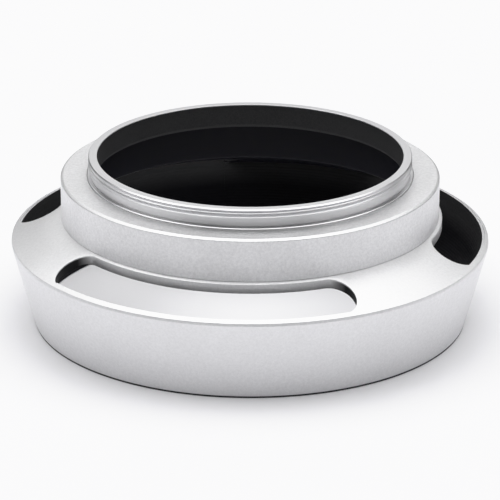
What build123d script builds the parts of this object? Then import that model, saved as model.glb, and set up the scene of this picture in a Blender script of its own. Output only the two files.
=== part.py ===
from build123d import *
import os

# A vented, screw-in lens hood, standing on its front rim.
# Millimetres. +Z points back towards the lens. The origin is the centre of the front rim's plane.

# Driving heights, from the front rim up to the threaded lip.
edge_height = 10.25
collar_foot_height = 12.96
ledge_height = 18.12
overall_height = 20.51

# Driving radii of the bright outer form.
rim_radius = 26.30
edge_radius = 28.93
collar_radius = 22.85
thread_radius = 19.50
bore_radius = 18.43

# Mount ring: a thin threaded lip above a relief band, on a foot that fills the collar's hole.
foot_radius = 19.66
foot_thickness = 0.14
relief_radius = 19.20
relief_top = 18.98
thread_bottom = 19.13
thread_chamfer = 0.22
lip_edge_break = 0.06
lip_overhang = 0.12

# Rear collar: a short cylinder with a thin top plate.
plate_thickness = 0.61
collar_inner_radius = 21.31
register_radius = 22.10
collar_edge_run = 0.42
collar_edge_drop = 0.30
collar_foot_break = 0.08

# Vented shade: a conical shoulder and a skirt that narrows towards the front.
shoulder_thickness = 1.10
edge_land = 0.35
rim_inner_radius = 25.77
rim_edge_break = 0.16

# Vents: kidney-shaped slots that reach the skirt's inner wall.
vent_count = 3
vent_outer_radius = 28.49
vent_inner_radius = 23.24
vent_sweep = 72.7
first_vent_angle = -90.0

# Black linings.
sleeve_thickness = 0.30
sleeve_chamfer_run = 0.20
sleeve_chamfer_height = 0.36
liner_thickness = 0.12
liner_vent_margin = 0.45
flare_end_radius = 28.05
skirt_liner_rim_radius = 25.47
skirt_liner_top_radius = 28.29
skirt_liner_rim_gap = 0.10
skirt_liner_vent_gap = 0.10
rib_pitch = 0.36
rib_depth = 0.10

# Worked-out values.
shoulder_slope = (collar_foot_height - edge_height) / (edge_radius - collar_radius)
plate_underside = ledge_height - plate_thickness
bore_sleeve_outer_radius = bore_radius + sleeve_thickness
throat_radius = collar_inner_radius - liner_thickness
vent_centre_radius = (vent_outer_radius + vent_inner_radius) / 2
vent_width = vent_outer_radius - vent_inner_radius
skirt_inner_slope = (vent_outer_radius - rim_inner_radius) / edge_height
skirt_liner_slope = (skirt_liner_top_radius - skirt_liner_rim_radius) / edge_height


def shoulder_top(radius):
    """Height of the shoulder's outer cone at a radius."""
    return collar_foot_height - shoulder_slope * (radius - collar_radius)


def shoulder_underside(radius):
    """Height of the shoulder's inner cone at a radius."""
    return shoulder_top(radius) - shoulder_thickness


def skirt_inner_wall(height):
    """Radius of the skirt's inner wall at a height."""
    return rim_inner_radius + skirt_inner_slope * height


def skirt_liner_face(height):
    """Radius of the crests of the skirt liner's ribs at a height."""
    return skirt_liner_rim_radius + skirt_liner_slope * height


def inner_corner():
    """Radius and height where the shoulder's inner cone meets the skirt's inner wall."""
    cone_at_axis = shoulder_underside(0)
    radius = (rim_inner_radius + skirt_inner_slope * cone_at_axis) / (1 + skirt_inner_slope * shoulder_slope)
    return radius, shoulder_underside(radius)


def turned(outline):
    """Solid of revolution about Z from a closed list of (radius, height) points."""
    face = make_face(Polyline(*outline, close=True))
    return revolve(Plane.XZ * face, Axis.Z)


def vent_cutters(width, bottom):
    """One kidney-shaped prism for each vent, standing on the given height."""
    cutters = []
    for number in range(vent_count):
        middle = first_vent_angle + number * 360 / vent_count
        path = CenterArc((0, 0), vent_centre_radius, middle - vent_sweep / 2, vent_sweep)
        slot = Pos(0, 0, bottom) * SlotArc(path, width)
        cutters.append(extrude(slot, overall_height - bottom))
    return cutters


def make_mount_ring():
    """Threaded lip, drawn plain at the thread's major radius, on its relief band and foot."""
    foot_top = ledge_height + foot_thickness
    rebate_top = overall_height - lip_overhang
    outline = [
        (bore_sleeve_outer_radius, plate_underside),
        (foot_radius, plate_underside),
        (foot_radius, foot_top),
        (relief_radius, foot_top),
        (relief_radius, relief_top),
        (thread_radius, thread_bottom),
        (thread_radius, overall_height - thread_chamfer),
        (thread_radius - thread_chamfer, overall_height),
        (bore_radius + lip_edge_break, overall_height),
        (bore_radius, overall_height - lip_edge_break),
        (bore_radius, rebate_top),
        (bore_sleeve_outer_radius, rebate_top),
    ]
    return turned(outline)


def make_bore_sleeve():
    """Black sleeve inside the mount ring, with a chamfered lower edge."""
    outline = [
        (bore_radius + sleeve_chamfer_run, plate_underside),
        (bore_sleeve_outer_radius, plate_underside),
        (bore_sleeve_outer_radius, overall_height - lip_overhang),
        (bore_radius, overall_height - lip_overhang),
        (bore_radius, plate_underside + sleeve_chamfer_height),
    ]
    return turned(outline)


def make_rear_collar():
    """Short cylinder whose shallow register drops into the shade's hole."""
    outline = [
        (foot_radius, plate_underside),
        (collar_inner_radius, plate_underside),
        (collar_inner_radius, shoulder_underside(collar_inner_radius)),
        (register_radius, shoulder_underside(register_radius)),
        (register_radius, collar_foot_height),
        (collar_radius - collar_foot_break, collar_foot_height),
        (collar_radius, collar_foot_height + collar_foot_break),
        (collar_radius, ledge_height - collar_edge_drop),
        (collar_radius - collar_edge_run, ledge_height),
        (foot_radius, ledge_height),
    ]
    return turned(outline)


def make_vented_shade():
    """Shoulder cone and skirt in one thin wall, with the vents cut through the shoulder."""
    corner_radius, corner_height = inner_corner()
    skirt_outer_slope = (edge_radius - rim_radius) / (edge_height - edge_land)
    outline = [
        (rim_inner_radius, 0),
        (rim_radius - rim_edge_break, 0),
        (rim_radius + skirt_outer_slope * rim_edge_break, rim_edge_break),
        (edge_radius, edge_height - edge_land),
        (edge_radius, edge_height),
        (collar_radius, collar_foot_height),
        (register_radius, collar_foot_height),
        (register_radius, shoulder_underside(register_radius)),
        (corner_radius, corner_height),
    ]
    shade = turned(outline)
    for cutter in vent_cutters(vent_width, corner_height):
        shade -= cutter
    return shade


def make_throat_liner():
    """Black cup that lines the collar and flares out under the shoulder between the vents."""
    outline = [
        (foot_radius, plate_underside),
        (collar_inner_radius, plate_underside),
        (collar_inner_radius, shoulder_underside(collar_inner_radius)),
        (flare_end_radius, shoulder_underside(flare_end_radius)),
        (flare_end_radius, shoulder_underside(flare_end_radius) - liner_thickness),
        (throat_radius, shoulder_underside(throat_radius) - liner_thickness),
        (throat_radius, plate_underside - liner_thickness),
        (foot_radius, plate_underside - liner_thickness),
    ]
    liner = turned(outline)
    for cutter in vent_cutters(vent_width + 2 * liner_vent_margin, 0):
        liner -= cutter
    return liner


def make_skirt_liner(shade):
    """Black ribbed sleeve inside the skirt, with a low tongue that stands in each vent."""
    top_radius = skirt_liner_face(edge_height)
    top = shoulder_top(top_radius) - skirt_liner_vent_gap
    outline = [
        (skirt_liner_face(top), top),
        (vent_outer_radius, shoulder_top(vent_outer_radius) - skirt_liner_vent_gap),
        (vent_outer_radius, edge_height),
        (skirt_inner_wall(skirt_liner_rim_gap), skirt_liner_rim_gap),
    ]
    rib_count = int((edge_height - skirt_liner_rim_gap) / rib_pitch)
    for rib in range(rib_count):
        crest = skirt_liner_rim_gap + rib * rib_pitch
        groove = crest + rib_pitch / 2
        outline.append((skirt_liner_face(crest), crest))
        outline.append((skirt_liner_face(groove) + rib_depth, groove))
    return turned(outline) - shade


vented_shade = make_vented_shade()
parts = {
    "mount_ring": make_mount_ring(),
    "bore_sleeve": make_bore_sleeve(),
    "rear_collar": make_rear_collar(),
    "throat_liner": make_throat_liner(),
    "vented_shade": vented_shade,
    "skirt_liner": make_skirt_liner(vented_shade),
}

os.makedirs("parts", exist_ok=True)
for name, part in parts.items():
    export_step(part, f"parts/{name}.step")
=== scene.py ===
import math
import bmesh
import bpy
from mathutils import Matrix, Vector


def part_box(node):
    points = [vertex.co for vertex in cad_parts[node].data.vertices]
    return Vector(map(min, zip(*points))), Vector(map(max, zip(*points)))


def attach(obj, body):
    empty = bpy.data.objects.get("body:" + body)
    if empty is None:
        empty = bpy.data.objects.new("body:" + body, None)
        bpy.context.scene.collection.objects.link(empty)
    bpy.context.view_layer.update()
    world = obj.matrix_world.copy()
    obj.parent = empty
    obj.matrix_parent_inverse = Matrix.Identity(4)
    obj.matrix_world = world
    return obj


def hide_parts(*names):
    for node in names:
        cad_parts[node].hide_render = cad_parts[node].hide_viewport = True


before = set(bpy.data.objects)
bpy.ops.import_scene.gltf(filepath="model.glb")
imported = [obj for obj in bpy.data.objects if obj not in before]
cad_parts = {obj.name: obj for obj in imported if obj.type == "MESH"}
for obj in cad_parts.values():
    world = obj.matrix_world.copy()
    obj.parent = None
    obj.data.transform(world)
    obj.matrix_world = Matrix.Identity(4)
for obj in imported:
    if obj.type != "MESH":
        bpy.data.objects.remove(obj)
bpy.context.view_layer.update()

# The hood's lengths are in millimetres until a mesh is made. The floor, lights and clipping are in metres.
MM = 0.001
COLUMNS = 480
ROUND_STEPS = 5
EDGE_STEPS = 8
COLLAR_STEPS = 12
SHARP_ANGLE = math.radians(28)
SLIVER = 0.002
TOUCHING = 1e-6
JOINT_GAP = 0.01


def box_mm(node):
    """Largest radius, lowest and highest height of a turned CAD node."""
    low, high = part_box(node)
    return high.x / MM, low.z / MM, high.z / MM


# Driving sizes read from the frame.
foot_radius, plate_underside, overall_height = box_mm("mount_ring")
sleeve_outer_radius = box_mm("bore_sleeve")[0]
collar_radius, _, ledge_height = box_mm("rear_collar")
edge_radius, _, collar_foot_height = box_mm("vented_shade")

# Sizes shared with the CAD source.
edge_height = 10.25
rim_radius = 26.30
thread_radius = 19.50
bore_radius = 18.43
foot_thickness = 0.14
lip_overhang = 0.12
collar_inner_radius = 21.31
register_radius = 22.10
shoulder_thickness = 1.10
edge_land = 0.35
rim_inner_radius = 25.77
vent_outer_radius = 28.49
vent_inner_radius = 23.24
vent_sweep = math.radians(72.7)
first_vent_angle = math.radians(-90)
vent_count = 3
liner_thickness = 0.12
flare_end_radius = 28.05
skirt_liner_rim_radius = 25.47
skirt_liner_top_radius = 28.29
skirt_liner_rim_gap = 0.10
rib_pitch = 0.36
sleeve_chamfer_run = 0.20
sleeve_chamfer_height = 0.36

# The camera's bearing about Z. The lights and the thread's start are placed from it too.
view_turn = math.radians(14.55)

shoulder_slope = (collar_foot_height - edge_height) / (edge_radius - collar_radius)
vent_centre_radius = (vent_outer_radius + vent_inner_radius) / 2
vent_half_width = (vent_outer_radius - vent_inner_radius) / 2


def shoulder_top(radius):
    """Height of the shoulder's outer cone at a radius."""
    return collar_foot_height - shoulder_slope * (radius - collar_radius)


def shoulder_underside(radius):
    """Height of the shoulder's inner cone at a radius."""
    return shoulder_top(radius) - shoulder_thickness


# ---------------------------------------------------------------- mesh helpers


def make_object(name, vertices, faces, materials, face_materials=None):
    """A smooth-shaded mesh object from points in millimetres."""
    mesh = bpy.data.meshes.new(name)
    mesh.from_pydata([(x * MM, y * MM, z * MM) for x, y, z in vertices], [], faces)
    for material in materials:
        mesh.materials.append(material)
    if face_materials:
        mesh.polygons.foreach_set("material_index", face_materials)
    mesh.shade_smooth()
    mesh.set_sharp_from_angle(angle=SHARP_ANGLE)
    mesh.update()
    piece = bpy.data.objects.new(name, mesh)
    bpy.context.scene.collection.objects.link(piece)
    return piece


def rounded(corners, steps=ROUND_STEPS):
    """A closed outline from (radius, height, corner size) corners.

    Each corner with a size becomes an arc. Two extra points beside it keep the flats' shading flat.
    """
    guard_share = 0.25
    outline = []
    count = len(corners)
    for index, (r, z, size) in enumerate(corners):
        here = Vector((r, z))
        if not size:
            outline.append((r, z))
            continue
        before = (Vector(corners[index - 1][:2]) - here).normalized()
        after = (Vector(corners[(index + 1) % count][:2]) - here).normalized()
        half = before.angle(after) / 2
        setback = size / math.tan(half)
        start = here + before * setback
        end = here + after * setback
        middle = here + (before + after).normalized() * (size / math.sin(half))
        guard = size * guard_share
        outline.append(tuple(start + before * guard))
        first = start - middle
        turn = first.angle_signed(end - middle)
        for step in range(steps + 1):
            angle = -turn * step / steps
            arm = Vector((
                first.x * math.cos(angle) - first.y * math.sin(angle),
                first.x * math.sin(angle) + first.y * math.cos(angle),
            ))
            outline.append(tuple(middle + arm))
        outline.append(tuple(end + after * guard))
    return outline


def turned(name, outline, material, columns=COLUMNS, radius_at=None):
    """A ring from a closed outline. radius_at may change a point's radius with its angle."""
    vertices = []
    faces = []
    rows = len(outline)
    for column in range(columns):
        angle = 2 * math.pi * column / columns
        for r, z in outline:
            radius = radius_at(r, z, angle) if radius_at else r
            vertices.append((radius * math.cos(angle), radius * math.sin(angle), z))
    for column in range(columns):
        other = (column + 1) % columns
        for row in range(rows):
            above = (row + 1) % rows
            near, far = column * rows, other * rows
            faces.append((near + row, far + row, far + above, near + above))
    return make_object(name, vertices, faces, [material])


# ---------------------------------------------------------------- material helpers


class Shader:
    """A Principled material and short ways to add nodes to it."""

    def __init__(self, name):
        self.material = bpy.data.materials.new(name)
        self.material.use_nodes = True
        self.tree = self.material.node_tree
        self.surface = self.tree.nodes["Principled BSDF"]
        coordinates = self.tree.nodes.new("ShaderNodeTexCoord")
        self.position = coordinates.outputs["Object"]

    def set(self, **values):
        """Constants on the shader's own sockets. An underscore stands for a space in a name."""
        for name, value in values.items():
            self.surface.inputs[name.replace("_", " ")].default_value = value

    def link(self, output, name):
        """Drive one of the shader's own sockets."""
        self.tree.links.new(output, self.surface.inputs[name])

    def noise(self, scale, detail=2.0, roughness=0.5, vector=None):
        """A noise value, mostly from 0.3 to 0.7. The scale is about its blobs per metre."""
        node = self.tree.nodes.new("ShaderNodeTexNoise")
        node.inputs["Scale"].default_value = scale
        node.inputs["Detail"].default_value = detail
        node.inputs["Roughness"].default_value = roughness
        self.tree.links.new(vector or self.position, node.inputs["Vector"])
        return node.outputs["Fac"]

    def ranged(self, value, low, high, source_low=0.3, source_high=0.7):
        """The value carried from its source range, by default a noise's, to low and high."""
        node = self.tree.nodes.new("ShaderNodeMapRange")
        node.inputs["From Min"].default_value = source_low
        node.inputs["From Max"].default_value = source_high
        node.inputs["To Min"].default_value = low
        node.inputs["To Max"].default_value = high
        self.tree.links.new(value, node.inputs["Value"])
        return node.outputs["Result"]

    def math(self, operation, a, b=None):
        """One sum on numbers or sockets."""
        node = self.tree.nodes.new("ShaderNodeMath")
        node.operation = operation
        for socket, value in zip(node.inputs, (a, b)):
            if isinstance(value, (int, float)):
                socket.default_value = value
            elif value is not None:
                self.tree.links.new(value, socket)
        return node.outputs["Value"]

    def bump(self, height, distance):
        """A normal for a height of 0 to 1 that stands for a distance in millimetres."""
        node = self.tree.nodes.new("ShaderNodeBump")
        node.inputs["Strength"].default_value = 1.0
        node.inputs["Distance"].default_value = distance * MM
        self.tree.links.new(height, node.inputs["Height"])
        return node.outputs["Normal"]

    def polar(self):
        """Radius in metres, angle in radians and height in metres about Z."""
        split = self.tree.nodes.new("ShaderNodeSeparateXYZ")
        self.tree.links.new(self.position, split.inputs["Vector"])
        x2 = self.math("MULTIPLY", split.outputs["X"], split.outputs["X"])
        y2 = self.math("MULTIPLY", split.outputs["Y"], split.outputs["Y"])
        radius = self.math("SQRT", self.math("ADD", x2, y2))
        angle = self.math("ARCTAN2", split.outputs["Y"], split.outputs["X"])
        return radius, angle, split.outputs["Z"]

    def ring_coordinates(self):
        """(radius, 0, height), so that a texture on it runs in rings about Z."""
        radius, _, height = self.polar()
        join = self.tree.nodes.new("ShaderNodeCombineXYZ")
        self.tree.links.new(radius, join.inputs["X"])
        self.tree.links.new(height, join.inputs["Z"])
        return join.outputs["Vector"]

    def mixed(self, factor, colour_a, colour_b):
        """Colour A where the factor is 0 and colour B where it is 1. Either may be a socket."""
        node = self.tree.nodes.new("ShaderNodeMix")
        node.data_type = "RGBA"
        self.tree.links.new(factor, node.inputs["Factor"])
        for name, colour in (("A", colour_a), ("B", colour_b)):
            if isinstance(colour, tuple):
                node.inputs[name].default_value = (*colour, 1)
            else:
                self.tree.links.new(colour, node.inputs[name])
        return node.outputs["Result"]


BLASTED_SILVER = (0.735, 0.735, 0.743)
VENTED_SHADE_BLACK = (0.010, 0.010, 0.012)


def blasted_aluminium(name, contrast=1.0, black_mask=None):
    """Fine bead-blasted, clear anodised aluminium. Where the mask is 1 it is black."""
    colour_spread = 0.065
    bump_height = 0.014
    black_extra_roughness = 0.15
    shader = Shader(name)
    cloud = shader.noise(220, detail=3)
    mottle = shader.noise(3000, detail=2)
    grain = shader.noise(6500, detail=3, roughness=0.65)
    blend = shader.math("MULTIPLY", shader.math("ADD", grain, mottle), 0.5)
    spread = colour_spread * contrast
    dark = tuple(channel - spread for channel in BLASTED_SILVER)
    light = tuple(channel + spread for channel in BLASTED_SILVER)
    silver = shader.mixed(shader.ranged(blend, 0, 1, 0.35, 0.65), dark, light)
    roughness = shader.ranged(cloud, 0.45, 0.50)
    if black_mask:
        mask = black_mask(shader)
        shader.link(shader.mixed(mask, silver, VENTED_SHADE_BLACK), "Base Color")
        shader.link(shader.math("SUBTRACT", 1.0, mask), "Metallic")
        duller = shader.math("MULTIPLY", mask, black_extra_roughness)
        shader.link(shader.math("ADD", roughness, duller), "Roughness")
    else:
        shader.set(Metallic=1.0)
        shader.link(silver, "Base Color")
        shader.link(roughness, "Roughness")
    shader.link(shader.bump(grain, bump_height * contrast), "Normal")
    return shader.material


def shade_black_mask(shader):
    """1 where the shade is coloured black, else 0.

    That is the rim's edge, the lower part of the vents' walls near their ends, the outer half of
    the ends themselves, and a thin line above the shoulder's underside. Lengths are in millimetres.
    """
    rim_black, rim_silver = 0.22, 0.27
    end_starts, end_full = math.radians(1.5), math.radians(5.0)
    end_depth, end_depth_blend = 0.20, 0.10
    cap_blend = math.radians(0.5)
    cap_inset = 0.5
    line_full, line_gone = 0.06, 0.10
    line_inset = 0.3
    skirt_top = 8.7
    outer_margin = 0.03
    vent_step = 2 * math.pi / vent_count
    apex = shoulder_top(0)

    radius, angle, height = shader.polar()
    # Black along the rim's lowest 0.22 mm, fading to silver by 0.27 mm.
    rim = shader.ranged(height, 1, 0, rim_black * MM, rim_silver * MM)
    turns = shader.math("DIVIDE", shader.math("SUBTRACT", angle, first_vent_angle), vent_step)
    from_middle = shader.math("ABSOLUTE", shader.math("SUBTRACT", turns, shader.math("ROUND", turns)))
    away = shader.math("MULTIPLY", from_middle, vent_step)
    # Black on the vents' walls near their ends, from a little under the top edge, and on the outer half of
    # each end.
    near_end = shader.ranged(away, 0, 1, vent_sweep / 2 + end_starts, vent_sweep / 2 + end_full)
    cone = shader.math("ADD", height, shader.math("MULTIPLY", radius, shoulder_slope))
    deep = shader.ranged(cone, 1, 0, (apex - end_depth) * MM, (apex - end_depth_blend) * MM)
    above_skirt = shader.math("GREATER_THAN", height, skirt_top * MM)
    inside = shader.math("LESS_THAN", radius, (vent_outer_radius + outer_margin) * MM)
    cap = shader.ranged(away, 0, 1, vent_sweep / 2 - cap_blend, vent_sweep / 2 + cap_blend)
    outer_half = shader.math("GREATER_THAN", radius, (vent_centre_radius - cap_inset) * MM)
    near_end = shader.math("MAXIMUM", near_end, shader.math("MULTIPLY", cap, outer_half))
    underside = (apex - shoulder_thickness) * MM
    line = shader.ranged(cone, 1, 0, underside + line_full * MM, underside + line_gone * MM)
    past_inner_wall = shader.math("GREATER_THAN", radius, (vent_inner_radius + line_inset) * MM)
    lowest = shader.math("MULTIPLY", line, past_inner_wall)
    deep = shader.math("MAXIMUM", lowest, shader.math("MULTIPLY", near_end, deep))
    vent = shader.math("MULTIPLY", deep, above_skirt)
    return shader.math("MAXIMUM", rim, shader.math("MULTIPLY", vent, inside))


def turned_aluminium():
    """Bright aluminium with the rings that a lathe tool leaves."""
    dark, light = (0.72, 0.72, 0.73), (0.77, 0.77, 0.78)
    bump_height = 0.0006
    shader = Shader("turned_aluminium")
    shader.set(Metallic=1.0)
    rings = shader.noise(22000, detail=2, vector=shader.ring_coordinates())
    broad = shader.noise(3500, detail=1, vector=shader.ring_coordinates())
    shader.link(shader.mixed(shader.ranged(broad, 0, 1), dark, light), "Base Color")
    shader.link(shader.ranged(broad, 0.29, 0.33), "Roughness")
    shader.link(shader.bump(rings, bump_height), "Normal")
    return shader.material


def matt_black():
    """Slightly grainy matt black."""
    dark, light = (0.007, 0.007, 0.008), (0.033, 0.033, 0.035)
    bump_height = 0.02
    shader = Shader("matt_black")
    grain = shader.noise(5200, detail=3, roughness=0.7)
    shader.link(shader.mixed(shader.ranged(grain, 0, 1), dark, light), "Base Color")
    shader.link(shader.ranged(grain, 0.55, 0.75), "Roughness")
    shader.link(shader.bump(grain, bump_height), "Normal")
    return shader.material


def smooth_black():
    """Smooth, very dark satin black."""
    dark, light = (0.0013, 0.0012, 0.0050), (0.0024, 0.0021, 0.0080)
    shader = Shader("smooth_black")
    cloud = shader.noise(900, detail=2)
    shader.link(shader.mixed(shader.ranged(cloud, 0, 1), dark, light), "Base Color")
    shader.set(Specular_IOR_Level=0.24)
    shader.link(shader.ranged(cloud, 0.42, 0.55), "Roughness")
    return shader.material


def ribbed_black():
    """Satin black that catches light along the ribs, with painted light high up and painted shade low down.
    """
    black_until, grey_from = 6.5, 8.5
    dark, light = (0.0010, 0.0010, 0.0020), (0.0022, 0.0021, 0.0038)
    painted_light_black = (0.021, 0.021, 0.022)
    bump_height = 0.008
    shader = Shader("ribbed_black")
    grain = shader.noise(4200, detail=2)
    low = shader.mixed(shader.ranged(grain, 0, 1), dark, light)
    _, _, height = shader.polar()
    # Lighter above grey_from and blacker below black_until: painted light and painted shade by height.
    upper = shader.ranged(height, 0, 1, black_until * MM, grey_from * MM)
    shader.link(shader.mixed(upper, low, painted_light_black), "Base Color")
    shader.set(Specular_IOR_Level=0.15)
    shader.link(shader.ranged(grain, 0.40, 0.55), "Roughness")
    shader.link(shader.bump(grain, bump_height), "Normal")
    return shader.material


# ---------------------------------------------------------------- mount ring and sleeve

RING_COLUMNS = 720
thread_pitch = 0.50
thread_depth = 0.27
thread_bottom = 19.42
thread_top = 20.36
thread_phase_height = 19.74
thread_run_out = 0.10
thread_row = 0.0125
relief_radius = 19.20
relief_top = 19.34
undercut_radius = 19.17
undercut_height = 0.03
undercut_ramp = 0.04
bead_run = 0.085
bead_drop = 0.06
bead_overhang = 0.02
bead_lift = 0.03
lip_edge_drop = 0.13
lip_edge_run = 0.12
bead_round_low = 0.015
bead_round_high = 0.03
lip_round_low = 0.03
lip_round_high = 0.06
bore_mouth_round = 0.04


def thread_radius_at(r, z, angle):
    """Radius of the lip's outside with a right-hand thread cut into it."""
    if r < thread_radius - SLIVER / 2 or not thread_bottom < z < thread_top:
        return r
    turns = (angle + math.pi / 2 - view_turn) / (2 * math.pi)
    phase = ((z - thread_phase_height) / thread_pitch - turns) % 1.0
    groove = (1 + math.cos(2 * math.pi * phase)) / 2
    fade = min((z - thread_bottom) / thread_run_out, (thread_top - z) / thread_run_out, 1)
    return r - thread_depth * groove * fade


def make_mount_ring(material):
    """Bright ring: rounded lip, thread, relief band, foot and hidden spigot."""
    foot_top = ledge_height + foot_thickness
    rebate_top = overall_height - lip_overhang
    lower = rounded([
        (sleeve_outer_radius, plate_underside, 0),
        (foot_radius - bead_overhang, plate_underside, 0),
        (foot_radius - bead_overhang, ledge_height + JOINT_GAP, 0),
        (foot_radius, ledge_height + bead_lift, 0),
        (foot_radius, foot_top - bead_drop, bead_round_low),
        (foot_radius - bead_run, foot_top, bead_round_high),
        (undercut_radius, foot_top, 0),
        (undercut_radius, foot_top + undercut_height, 0),
        (relief_radius, foot_top + undercut_height + undercut_ramp, 0),
        (relief_radius, relief_top, 0),
    ])
    rows = int((thread_top - thread_bottom) / thread_row)
    wall = [(thread_radius, thread_bottom + row * thread_row) for row in range(rows + 1)]
    upper = rounded([
        (thread_radius, thread_top, 0),
        (thread_radius, overall_height - lip_edge_drop, lip_round_low),
        (thread_radius - lip_edge_run, overall_height, lip_round_high),
        (bore_radius, overall_height, bore_mouth_round),
        (bore_radius, rebate_top, 0),
        (sleeve_outer_radius, rebate_top, 0),
    ])
    outline = lower + wall + upper[1:]
    return turned("mount_ring_threaded", outline, material, RING_COLUMNS, thread_radius_at)


def make_bore_sleeve(material):
    """Matt black sleeve with a chamfered lower edge."""
    gap = 0.005
    foot_round = 0.02
    chamfer_round = 0.05
    outline = rounded([
        (bore_radius + sleeve_chamfer_run, plate_underside, foot_round),
        (sleeve_outer_radius - gap, plate_underside, foot_round),
        (sleeve_outer_radius - gap, overall_height - lip_overhang, 0),
        (bore_radius + gap, overall_height - lip_overhang, 0),
        (bore_radius + gap, plate_underside + sleeve_chamfer_height, chamfer_round),
    ])
    return turned("bore_sleeve_fine", outline, material)


# ---------------------------------------------------------------- rear collar

collar_break_run = 0.32
collar_break_drop = 0.22
collar_foot_break_run = 0.03
collar_foot_break_height = 0.05
collar_foot_round = 0.03
collar_round_low = 0.15
collar_round_high = 0.30
ring_joint_width = 0.05
ring_joint_depth = 0.06


def make_rear_collar(material):
    """Blasted cylinder with a rounded upper edge and a fine break at its foot."""
    outline = rounded([
        (foot_radius, plate_underside, 0),
        (collar_inner_radius, plate_underside, 0),
        (collar_inner_radius, shoulder_underside(collar_inner_radius), 0),
        (register_radius, shoulder_underside(register_radius), 0),
        (register_radius, collar_foot_height + JOINT_GAP, 0),
        (collar_radius - collar_foot_break_run, collar_foot_height + JOINT_GAP, 0),
        (collar_radius, collar_foot_height + collar_foot_break_height, collar_foot_round),
        (collar_radius, ledge_height - collar_break_drop, collar_round_low),
        (collar_radius - collar_break_run, ledge_height, collar_round_high),
        (foot_radius + ring_joint_width, ledge_height, 0),
        (foot_radius, ledge_height - ring_joint_depth, 0),
    ], steps=COLLAR_STEPS)
    return turned("rear_collar_rounded", outline, material)


# ---------------------------------------------------------------- vented shade

CAP_COLUMNS = 14
ARC_COLUMNS = 96
WEB_COLUMNS = 48
vent_edge_round = 0.035
facet_start = 0.02
facet_radius = 28.87
shell_corner_radius = 28.60
collar_seat_margin = 0.05
facet_round = 0.08
shade_edge_round = 0.30
rim_outer_round = 0.02
rim_inner_round = 0.10


def vent_columns(half_width):
    """Angles round the shoulder, each with the vent's inner and outer radius there and its anchor.

    Where there is no vent the two radii are the same. The anchor is the angle of the point on the
    vent's centre line that the opening's edge is nearest to.
    """
    reach = math.asin(half_width / vent_centre_radius)
    tip_radius = vent_centre_radius * math.cos(reach)
    columns = []
    step = 2 * math.pi / vent_count
    for number in range(vent_count):
        middle = first_vent_angle + number * step
        start = middle - vent_sweep / 2
        end = middle + vent_sweep / 2
        for side, centre in ((-1, start), (1, end)):
            caps = []
            for index in range(CAP_COLUMNS + 1):
                away = math.sin(math.pi / 2 * index / CAP_COLUMNS)
                offset = reach * away
                chord = math.sqrt(max(half_width ** 2 - (vent_centre_radius * math.sin(offset)) ** 2, 0))
                base = vent_centre_radius * math.cos(offset)
                caps.append((centre + side * offset, base - chord, base + chord, centre))
            if side < 0:
                caps.reverse()
                columns += caps
                for index in range(1, ARC_COLUMNS):
                    angle = start + vent_sweep * index / ARC_COLUMNS
                    inner = vent_centre_radius - half_width
                    columns.append((angle, inner, inner + 2 * half_width, angle))
            else:
                columns += caps
        web_start = end + reach
        web_end = start + step - reach
        for index in range(1, WEB_COLUMNS):
            angle = web_start + (web_end - web_start) * index / WEB_COLUMNS
            columns.append((angle, tip_radius, tip_radius, None))
    return columns


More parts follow.
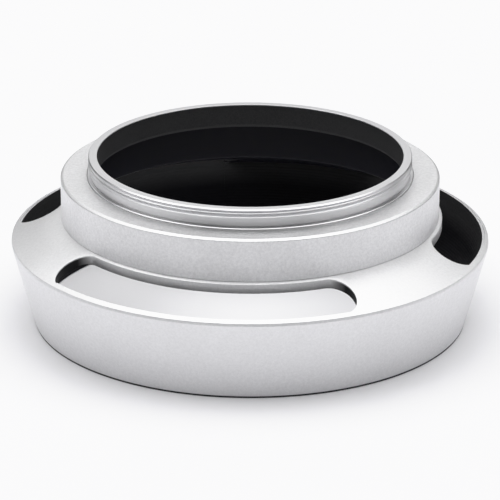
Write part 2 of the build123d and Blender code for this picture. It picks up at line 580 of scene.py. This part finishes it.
def make_vented_shade(material):
    """Shoulder and skirt as one closed thin wall, with rounded edges all along the vents."""
    wide = vent_half_width + vent_edge_round
    columns = vent_columns(wide)

    outer_start = vent_outer_radius + vent_edge_round + facet_start
    outer = rounded([
        (outer_start, shoulder_top(outer_start), 0),
        (facet_radius, shoulder_top(facet_radius), facet_round),
        (edge_radius, edge_height - edge_land, shade_edge_round),
        (rim_radius, 0, rim_outer_round),
        (rim_inner_radius, 0, rim_inner_round),
        (shell_corner_radius, shoulder_underside(shell_corner_radius), 0),
    ], steps=EDGE_STEPS)[:-1]

    inner_top = [register_radius, collar_radius + collar_seat_margin]
    vertices = []
    faces = []

    def add(x, y, z):
        vertices.append((x, y, z))
        return len(vertices) - 1

    def around(angle, r, z):
        return add(r * math.cos(angle), r * math.sin(angle), z)

    rows = []
    for angle, inner, outward, anchor in columns:
        open_here = outward - inner > TOUCHING
        strip = {"anchor": anchor, "open": open_here, "angle": angle}
        strip["top_in"] = [around(angle, r, shoulder_top(max(r, collar_radius))) for r in inner_top]
        strip["top_in"].append(around(angle, inner, shoulder_top(inner)))
        first_out = strip["top_in"][-1]
        if open_here:
            first_out = around(angle, outward, shoulder_top(outward))
        strip["top_out"] = [first_out] + [around(angle, r, z) for r, z in outer]
        strip["under_in"] = [around(angle, register_radius, shoulder_underside(register_radius))]
        strip["under_in"].append(around(angle, inner, shoulder_underside(inner)))
        last_out = strip["under_in"][-1]
        if open_here:
            last_out = around(angle, outward, shoulder_underside(outward))
        corner = around(angle, shell_corner_radius, shoulder_underside(shell_corner_radius))
        strip["under_out"] = [corner, last_out]
        strip["inner"] = inner
        strip["outward"] = outward
        rows.append(strip)

    def stitch(a, b):
        """Quads between two chains of points, or triangles where the chains share one."""
        for index in range(len(a) - 1):
            quad = [a[index], a[index + 1], b[index + 1], b[index]]
            unique = list(dict.fromkeys(quad))
            if len(unique) > 2:
                faces.append(tuple(unique))

    def back(strip):
        """The chain from the opening under the shoulder and up to its inner edge."""
        return strip["under_in"][::-1] + strip["top_in"][:1]

    count = len(rows)
    for index, row in enumerate(rows):
        following = rows[(index + 1) % count]
        stitch(row["top_in"], following["top_in"])
        stitch(row["top_out"] + row["under_out"], following["top_out"] + following["under_out"])
        stitch(back(row), back(following))

    def wall(point_index, bottom_index, anchor, radius, angle):
        """A chain of points down the vent's wall from one edge point to the one below it."""
        centre = Vector((math.cos(anchor), math.sin(anchor))) * vent_centre_radius
        point = Vector((math.cos(angle), math.sin(angle))) * radius
        outwards = (point - centre).normalized()
        turns = [math.pi / 2 * step / ROUND_STEPS for step in range(ROUND_STEPS + 1)]
        chain = [point_index]
        for turn in turns[1:]:
            place = centre + outwards * (vent_half_width + vent_edge_round * (1 - math.sin(turn)))
            sink = vent_edge_round * (1 - math.cos(turn))
            chain.append(add(place.x, place.y, shoulder_top(place.length) - sink))
        for turn in turns[:-1]:
            place = centre + outwards * (vent_half_width + vent_edge_round * (1 - math.cos(turn)))
            rise = vent_edge_round * (1 - math.sin(turn))
            chain.append(add(place.x, place.y, shoulder_underside(place.length) + rise))
        chain.append(bottom_index)
        return chain

    for row in rows:
        anchor, angle = row["anchor"], row["angle"]
        if anchor is None:
            row["chain_in"] = row["chain_out"] = None
            continue
        row["chain_in"] = wall(row["top_in"][-1], row["under_in"][-1], anchor, row["inner"], angle)
        row["chain_out"] = row["chain_in"]
        if row["open"]:
            row["chain_out"] = wall(row["top_out"][0], row["under_out"][-1], anchor, row["outward"], angle)
    for index, row in enumerate(rows):
        following = rows[(index + 1) % count]
        if row["chain_in"] and following["chain_in"]:
            stitch(row["chain_in"], following["chain_in"])
            stitch(following["chain_out"], row["chain_out"])

    return make_object("vented_shade_fine", vertices, faces, [material])


# ---------------------------------------------------------------- black linings

TONGUE_COLUMNS = 110
BRIDGE_COLUMNS = 50
ROWS_PER_RIB = 6
liner_vent_margin = 0.14
flare_end_round = 0.05
flare_round = 0.28
cup_round = 0.15
cup_mouth_round = 0.04
skirt_liner_vent_gap = 0.14
skirt_liner_back_gap = 0.02
tongue_radius = 28.13
tongue_side = math.radians(0.02)
rib_depth = 0.018
rib_top = 9.1


def make_vent_cutter(half_width):
    """Three kidney-shaped prisms, a little wider than the vents, to cut other meshes with."""
    vertices = []
    faces = []
    for number in range(vent_count):
        first = len(vertices)
        columns = [column for column in vent_columns(half_width) if column[3] is not None]
        per_vent = len(columns) // vent_count
        columns = columns[number * per_vent:(number + 1) * per_vent]
        loop = [(angle, inner) for angle, inner, _, _ in columns]
        loop += [(angle, outward) for angle, inner, outward, _ in reversed(columns)
                 if outward - inner > TOUCHING]
        loop.reverse()
        for z in (0, overall_height):
            vertices += [(r * math.cos(angle), r * math.sin(angle), z) for angle, r in loop]
        size = len(loop)
        faces.append(tuple(range(first + size - 1, first - 1, -1)))
        faces.append(tuple(range(first + size, first + 2 * size)))
        for index in range(size):
            other = (index + 1) % size
            faces.append((first + index, first + other, first + size + other, first + size + index))
    return make_object("vent_cutter", vertices, faces, [])


def cut(piece, cutter):
    """Take the cutter away from the piece, clear the slivers left, and remove the cutter."""
    modifier = piece.modifiers.new("cut", "BOOLEAN")
    modifier.object = cutter
    modifier.solver = "EXACT"
    bpy.context.view_layer.update()
    evaluated = piece.evaluated_get(bpy.context.evaluated_depsgraph_get())
    mesh = bpy.data.meshes.new_from_object(evaluated)
    piece.modifiers.clear()
    piece.data = mesh
    tidy = bmesh.new()
    tidy.from_mesh(mesh)
    bmesh.ops.remove_doubles(tidy, verts=tidy.verts, dist=SLIVER * MM)
    bmesh.ops.dissolve_degenerate(tidy, edges=tidy.edges, dist=SLIVER * MM)
    tidy.to_mesh(mesh)
    tidy.free()
    mesh.set_sharp_from_angle(angle=SHARP_ANGLE)
    bpy.data.objects.remove(cutter)


def make_throat_liner(material):
    """Black cup lining the collar, with a soft edge where it flares out between the vents."""
    throat_radius = collar_inner_radius - liner_thickness
    cup_underside = plate_underside - liner_thickness
    outline = rounded([
        (foot_radius, plate_underside - JOINT_GAP, 0),
        (collar_inner_radius - JOINT_GAP, plate_underside - JOINT_GAP, 0),
        (collar_inner_radius - JOINT_GAP, shoulder_underside(collar_inner_radius) - JOINT_GAP, 0),
        (flare_end_radius, shoulder_underside(flare_end_radius) - JOINT_GAP, 0),
        (flare_end_radius, shoulder_underside(flare_end_radius) - liner_thickness, flare_end_round),
        (throat_radius, shoulder_underside(throat_radius) - liner_thickness, flare_round),
        (throat_radius, cup_underside, cup_round),
        (foot_radius, cup_underside, cup_mouth_round),
    ])
    liner = turned("throat_liner_flared", outline, material)
    cut(liner, make_vent_cutter(vent_half_width + liner_vent_margin))
    return liner


def skirt_liner_face(height):
    """Radius of the ribs' crests at a height."""
    slope = (skirt_liner_top_radius - skirt_liner_rim_radius) / edge_height
    return skirt_liner_rim_radius + slope * height


def ribbed_radius(z):
    """Radius of the skirt liner's face, with its ribs, at a height. It is plain above the ribs."""
    if z > rib_top:
        return min(skirt_liner_face(z), tongue_radius)
    wave = math.cos(2 * math.pi * (z - skirt_liner_rim_gap) / rib_pitch)
    return skirt_liner_face(z) + rib_depth * (1 - wave) / 2


def make_skirt_liner(material, edge_material):
    """Black sleeve with fine turned ribs and a low tongue, bare on top, standing in each vent."""
    shell_slope = (vent_outer_radius - rim_inner_radius) / edge_height
    # The angle by which a vent reaches past its end arc's centre, at the liner's top radius.
    reach = math.acos((vent_centre_radius ** 2 + skirt_liner_top_radius ** 2 - vent_half_width ** 2)
                      / (2 * vent_centre_radius * skirt_liner_top_radius))
    tongue_sweep = vent_sweep + 2 * reach
    step = 2 * math.pi / vent_count
    columns = []
    for number in range(vent_count):
        middle = first_vent_angle + number * step
        start = middle - tongue_sweep / 2
        end = middle + tongue_sweep / 2
        tongue = range(TONGUE_COLUMNS + 1)
        columns += [(start + (end - start) * index / TONGUE_COLUMNS, True) for index in tongue]
        columns += [(end + tongue_side, False)]
        bridge_end = start + step - tongue_side
        bridge_sweep = bridge_end - end - tongue_side
        bridge = range(1, BRIDGE_COLUMNS + 1)
        columns += [(end + tongue_side + bridge_sweep * index / BRIDGE_COLUMNS, False) for index in bridge]

    low_top = shoulder_underside(skirt_liner_top_radius) - JOINT_GAP
    high_top = shoulder_top(tongue_radius) - skirt_liner_vent_gap
    points = int((high_top - skirt_liner_rim_gap) / (rib_pitch / ROWS_PER_RIB))

    vertices = []
    faces = []
    face_materials = []
    rows = points + 3
    top_row = points
    for angle, tall in columns:
        top = high_top if tall else low_top
        line = []
        for index in range(points + 1):
            z = skirt_liner_rim_gap + (top - skirt_liner_rim_gap) * index / points
            line.append((ribbed_radius(z), z))
        back_top = min(vent_outer_radius, rim_inner_radius + shell_slope * top) - skirt_liner_back_gap
        line.append((back_top, top - shoulder_slope * (back_top - ribbed_radius(top))))
        line.append((rim_inner_radius - skirt_liner_back_gap, skirt_liner_rim_gap))
        vertices += [(r * math.cos(angle), r * math.sin(angle), z) for r, z in line]
    count = len(columns)
    for column in range(count):
        other = (column + 1) % count
        for row in range(rows):
            above = (row + 1) % rows
            near, far = column * rows, other * rows
            faces.append((near + row, near + above, far + above, far + row))
            bare = row == top_row and columns[column][1] and columns[other][1]
            face_materials.append(1 if bare else 0)
    return make_object("skirt_liner_ribbed", vertices, faces, [material, edge_material], face_materials)


# ---------------------------------------------------------------- assembly

blasted = blasted_aluminium("blasted_aluminium")
blasted_shade = blasted_aluminium("blasted_aluminium_edges", contrast=0.6, black_mask=shade_black_mask)
bright = turned_aluminium()
matt = matt_black()
smooth = smooth_black()
ribbed = ribbed_black()

for piece, node, slot in (
    (make_mount_ring(bright), "mount_ring", "turned_aluminium"),
    (make_bore_sleeve(matt), "bore_sleeve", "matt_black"),
    (make_rear_collar(blasted), "rear_collar", "blasted_aluminium"),
    (make_vented_shade(blasted_shade), "vented_shade", "blasted_aluminium"),
    (make_throat_liner(smooth), "throat_liner", "smooth_black"),
    (make_skirt_liner(ribbed, blasted), "skirt_liner", "ribbed_black"),
):
    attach(piece, "root")
    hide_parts(node)

# ---------------------------------------------------------------- floor, light and camera

ROOM_RADIANCE = 0.02
FLOOR_COLOUR = (0.885, 0.883, 0.903, 1)


def make_floor():
    """A wide, pale, matt floor."""
    reach = 6.0
    mesh = bpy.data.meshes.new("floor")
    corners = [(-reach, -reach, 0), (reach, -reach, 0), (reach, reach, 0), (-reach, reach, 0)]
    mesh.from_pydata(corners, [], [(0, 1, 2, 3)])
    shader = Shader("floor_pale")
    shader.set(Base_Color=FLOOR_COLOUR, Roughness=1.0, Specular_IOR_Level=0.0)
    mesh.materials.append(shader.material)
    floor = bpy.data.objects.new("floor", mesh)
    bpy.context.scene.collection.objects.link(floor)


def make_world():
    """A dim, neutral room round the lights."""
    world = bpy.data.worlds.new("studio")
    bpy.context.scene.world = world
    world.use_nodes = True
    background = world.node_tree.nodes["Background"]
    background.inputs["Color"].default_value = (0.98, 0.99, 1.0, 1)
    background.inputs["Strength"].default_value = ROOM_RADIANCE


def make_softbox(name, bearing, elevation, distance, width, height, radiance):
    """An elliptical soft light that faces the hood. Its distance, width and height are in metres.

    The bearing is in degrees clockwise from straight behind the hood, as the camera sees it. The
    energy is worked out as for a rectangle of the same width and height.
    """
    data = bpy.data.lights.new(name, "AREA")
    data.shape = "ELLIPSE"
    data.size = width
    data.size_y = height
    data.energy = radiance * math.pi * width * height
    light = bpy.data.objects.new(name, data)
    bpy.context.scene.collection.objects.link(light)
    side = math.radians(bearing)
    rise = math.radians(elevation)
    direction = Vector((math.sin(side) * math.cos(rise), math.cos(side) * math.cos(rise), math.sin(rise)))
    direction.rotate(Matrix.Rotation(view_turn, 3, "Z"))
    light.location = direction * distance
    light.rotation_euler = direction.to_track_quat("Z", "Y").to_euler()


def make_camera():
    """Long lens, looking down at the hood from the front."""
    distance = 353.88 * MM
    height = 145.37 * MM
    pitch = math.radians(21.21)
    roll = math.radians(0.1285)
    data = bpy.data.cameras.new("camera")
    data.sensor_width = 36
    data.lens = 224.5
    data.clip_start = 0.01
    data.clip_end = 50
    camera = bpy.data.objects.new("camera", data)
    bpy.context.scene.collection.objects.link(camera)
    turn = Matrix.Rotation(view_turn, 4, "Z")
    aim = Matrix.Rotation(math.pi / 2 - pitch, 4, "X") @ Matrix.Rotation(roll, 4, "Z")
    camera.matrix_world = turn @ Matrix.Translation((0, -distance, height)) @ aim
    bpy.context.scene.camera = camera


def soften_highlights():
    """Plain view transform whose brightest values roll off instead of clipping."""
    brightest = 4.0
    straight_until = 0.72
    roll_off = ((0.90, 0.880), (1.10, 0.950), (1.45, 0.980), (2.20, 0.992))
    settings = bpy.context.scene.view_settings
    settings.view_transform = "Standard"
    settings.use_curve_mapping = True
    mapping = settings.curve_mapping
    mapping.clip_max_x = brightest
    # The fourth curve acts on all three channels together.
    curve = mapping.curves[3]
    curve.points[0].location = (0.0, 0.0)
    curve.points[1].location = (brightest, 1.0)
    knee = curve.points.new(straight_until, straight_until)
    for value, shown in roll_off:
        curve.points.new(value, shown)
    curve.points[0].handle_type = "VECTOR"
    knee.handle_type = "AUTO_CLAMPED"
    mapping.update()


make_floor()
make_world()
make_softbox("softbox_above", bearing=0, elevation=86.5, distance=1.0, width=2.0, height=1.6, radiance=1.90)
make_softbox("softbox_behind", bearing=0, elevation=28, distance=1.5, width=2.8, height=0.45, radiance=1.08)
make_softbox("softbox_right", bearing=90, elevation=42, distance=1.2, width=1.3, height=0.42, radiance=1.05)
make_softbox("softbox_left", bearing=270, elevation=42, distance=1.2, width=1.3, height=0.42, radiance=1.35)
make_camera()
soften_highlights()
